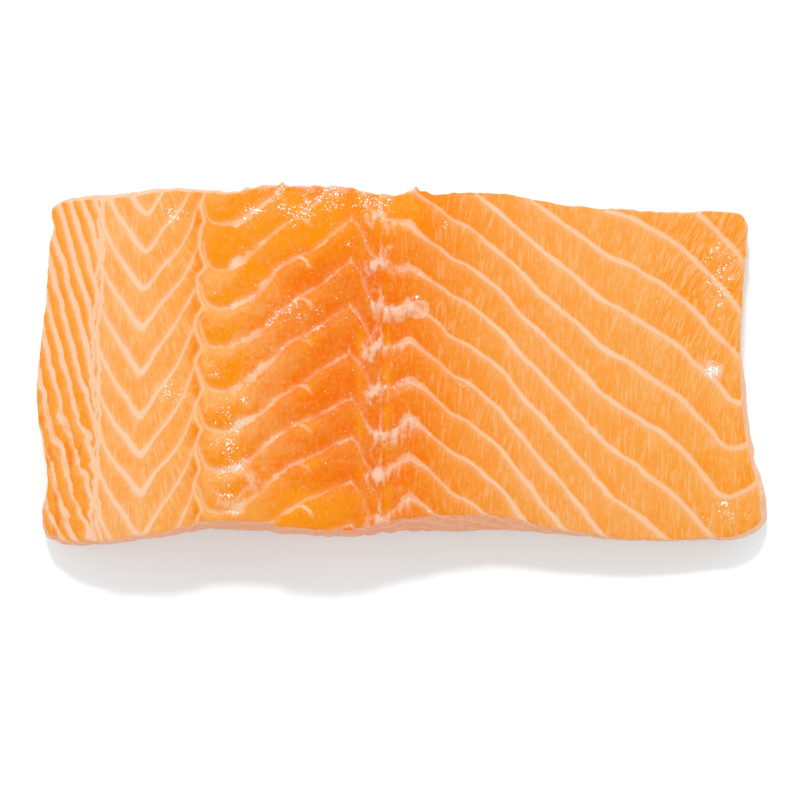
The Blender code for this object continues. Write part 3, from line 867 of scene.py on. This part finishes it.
def flesh_material():
    nodes = Nodes("salmon_flesh")
    place = nodes.add("ShaderNodeTexCoord", {}, "Object")
    place = nodes.add("ShaderNodeVectorMath", {0: place, "Scale": 1 / MM}, operation="SCALE")
    split = nodes.tree.nodes.new("ShaderNodeSeparateXYZ")
    nodes.put(split.inputs[0], place)
    x, y, z = split.outputs

    septa = nodes.value("septa")
    block = nodes.math("FLOOR", septa)
    share = nodes.math("FRACT", septa)
    ragged = nodes.math("SUBTRACT", nodes.noise(place, 1.0, 4.0, 0.7), 0.5)
    ragged = nodes.math("MULTIPLY", ragged, nodes.value("raggedness"))
    line, from_edge = septum_lines(nodes, septa, ragged)
    strands = pale_strands(nodes, y, share, block, ragged)
    lines, shades = fibre_streaks(nodes, x, y, z, share, block)

    mottle = nodes.math("SUBTRACT", nodes.noise(place, 0.9, 5.0, 0.7), 0.5)
    mottle = nodes.math("MULTIPLY_ADD", mottle, nodes.value("mottling"), 0.12)
    colour = nodes.mix(nodes.math("ADD", shades, mottle), nodes.colour("flesh"), nodes.colour("fibre"))
    colour = nodes.mix(nodes.math("MULTIPLY", lines, 0.44), colour, rgba(STREAK_COLOUR))
    below = nodes.math("MULTIPLY", nodes.ramp(share, 0.6, 0.35), nodes.value("haze_below"))
    above = nodes.math("MULTIPLY", nodes.ramp(share, 0.4, 0.65), nodes.value("haze_above"))
    haze = nodes.math("MULTIPLY", nodes.ramp(from_edge, 1.6, -0.2, 0.0, 0.34), nodes.math("ADD", below, above))
    haze = nodes.math("MULTIPLY", haze, nodes.value("septum_strength"))
    colour = nodes.mix(haze, colour, rgba(SEPTUM_COLOUR))
    colour = nodes.mix(nodes.math("MAXIMUM", line, strands), colour, rgba(SEPTUM_COLOUR))
    hanging = nodes.vector(x, nodes.math("MULTIPLY", y, 0.5), z)
    threads = nodes.math("SUBTRACT", nodes.noise(hanging, 1.6, 4.0, 0.65), 0.5)
    torn = nodes.math("MULTIPLY_ADD", threads, 2.8, nodes.value("tissue"))
    torn = nodes.math("MULTIPLY", nodes.ramp(torn, -0.6, 1.3, 0.0, 0.9), nodes.value("top"))
    colour = nodes.mix(torn, colour, rgba(TISSUE_COLOUR))
    wet_and_glints = nodes.value("wet_and_glints")
    # painted highlights: white glints mixed into the base colour
    colour = nodes.mix(glints(nodes, place, wet_and_glints), colour, rgba(GLINT_COLOUR))

    grain = nodes.noise(place, 1.3, 3.0, 0.6)
    height = nodes.math("MULTIPLY_ADD", grain, 0.10, nodes.math("MULTIPLY", lines, 0.03))
    height = nodes.math("MULTIPLY_ADD", nodes.math("MAXIMUM", line, torn), 0.04, height)
    normal = nodes.add("ShaderNodeBump", {"Strength": 1.0, "Distance": MM, "Height": height})
    drops = nodes.noise(place, 1.6, 1.5)
    ripples = nodes.math("MULTIPLY", nodes.math("MULTIPLY", drops, 0.42), wet_and_glints)
    film = {"Strength": 1.0, "Distance": MM, "Height": ripples, "Normal": normal}
    return nodes.finish(
        Base_Color=colour,
        Roughness=0.4,
        Specular_IOR_Level=0.05,
        Subsurface_Weight=0.2,
        Subsurface_Scale=0.0012,
        Coat_Weight=nodes.ramp(wet_and_glints, 0.3, 1.0, 0.02, 0.15),
        Coat_Roughness=0.16,
        Normal=normal,
        Coat_Normal=nodes.add("ShaderNodeBump", film),
    )


# ---------------------------------------------------------------- the scene

FLOOR_SIZE = 3.0
FLOOR_COLOUR = (0.88, 0.92, 0.94)       # cool enough to even out the warm light off the flesh
CAMERA_HEIGHT = 1.0
CAMERA_PLACE = (-0.00072, -0.00845)     # metres from the middle of the fillet's foot
CAMERA_ANGLE_PIXELS = 4149              # image pixels for a step as long as the distance
IMAGE_PIXELS = 800
SUN_TURN = np.radians(7)
SUN_RISE = np.radians(60)
SUN_DISTANCE = 2.0
SUN_SIZE = 0.20
SUN_POWER = 17.0
SKY_STRENGTH = 1.32
SKY_COLOUR = (0.985, 1.035, 1.045)
DARK_OVERHEAD = (0.83, 0.95)            # the sky fades to dark between these heights of a unit step


def add_flesh():
    points, faces, depth = flesh_mesh()
    mesh = bpy.data.meshes.new("salmon_flesh")
    mesh.from_pydata(points * MM, [], faces)
    mesh.shade_smooth()
    mesh.update()
    paint(mesh, points, depth)
    low, high = (np.array(corner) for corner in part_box(NODE))
    shift = (low + high) / 2 - (points.min(axis=0) + points.max(axis=0)) / 2 * MM
    shift[2] = low[2]
    flat = (points * MM + shift).astype(np.float32)
    mesh.vertices.foreach_set("co", flat.ravel())
    mesh.update()
    mesh.materials.append(flesh_material())
    flesh = bpy.data.objects.new("salmon_flesh", mesh)
    bpy.context.scene.collection.objects.link(flesh)
    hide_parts(NODE)
    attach(flesh, "root")


def add_floor():
    half = FLOOR_SIZE / 2
    corners = [(-half, -half, 0), (half, -half, 0), (half, half, 0), (-half, half, 0)]
    mesh = bpy.data.meshes.new("floor")
    mesh.from_pydata(corners, [], [(0, 1, 2, 3)])
    nodes = Nodes("floor_white")
    white = nodes.finish(Base_Color=(*FLOOR_COLOUR, 1), Roughness=1.0, Specular_IOR_Level=0.0)
    mesh.materials.append(white)
    floor = bpy.data.objects.new("floor", mesh)
    bpy.context.scene.collection.objects.link(floor)


def add_camera():
    camera = bpy.data.cameras.new("camera")
    camera.sensor_width = 36
    camera.lens = camera.sensor_width * CAMERA_ANGLE_PIXELS / IMAGE_PIXELS
    camera.clip_end = 10
    holder = bpy.data.objects.new("camera", camera)
    holder.location = (*CAMERA_PLACE, CAMERA_HEIGHT)
    bpy.context.scene.collection.objects.link(holder)
    bpy.context.scene.camera = holder


def add_sun():
    light = bpy.data.lights.new("window", "AREA")
    light.shape = "DISK"
    light.size = SUN_SIZE
    light.energy = SUN_POWER
    holder = bpy.data.objects.new("window", light)
    flat = np.cos(SUN_RISE)
    away = Vector((-np.sin(SUN_TURN) * flat, np.cos(SUN_TURN) * flat, np.sin(SUN_RISE)))
    holder.location = away * SUN_DISTANCE
    holder.rotation_euler = away.to_track_quat("Z", "Y").to_euler()
    bpy.context.scene.collection.objects.link(holder)


def add_sky():
    """White light from all round, with no light from straight above, where it would veil the wet flesh."""
    world = bpy.data.worlds.new("sky")
    world.use_nodes = True
    tree = world.node_tree
    direction = tree.nodes.new("ShaderNodeTexCoord").outputs["Generated"]
    split = tree.nodes.new("ShaderNodeSeparateXYZ")
    tree.links.new(direction, split.inputs[0])
    fade = tree.nodes.new("ShaderNodeMapRange")
    fade.interpolation_type = "SMOOTHSTEP"
    tree.links.new(split.outputs["Z"], fade.inputs["Value"])
    levels = {"From Min": DARK_OVERHEAD[0], "From Max": DARK_OVERHEAD[1], "To Min": SKY_STRENGTH, "To Max": 0.02}
    for name, value in levels.items():
        fade.inputs[name].default_value = value
    background = tree.nodes["Background"]
    background.inputs["Color"].default_value = (*SKY_COLOUR, 1)
    tree.links.new(fade.outputs[0], background.inputs["Strength"])
    bpy.context.scene.world = world
    bpy.context.scene.view_settings.view_transform = "Standard"


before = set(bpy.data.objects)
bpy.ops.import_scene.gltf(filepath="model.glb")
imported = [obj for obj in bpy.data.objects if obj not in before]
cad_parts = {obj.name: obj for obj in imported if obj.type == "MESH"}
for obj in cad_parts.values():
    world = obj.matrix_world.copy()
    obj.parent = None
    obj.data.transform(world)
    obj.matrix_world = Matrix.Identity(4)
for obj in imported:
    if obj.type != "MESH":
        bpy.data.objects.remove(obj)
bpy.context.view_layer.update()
add_camera()
add_sun()
add_sky()
add_floor()
add_flesh()
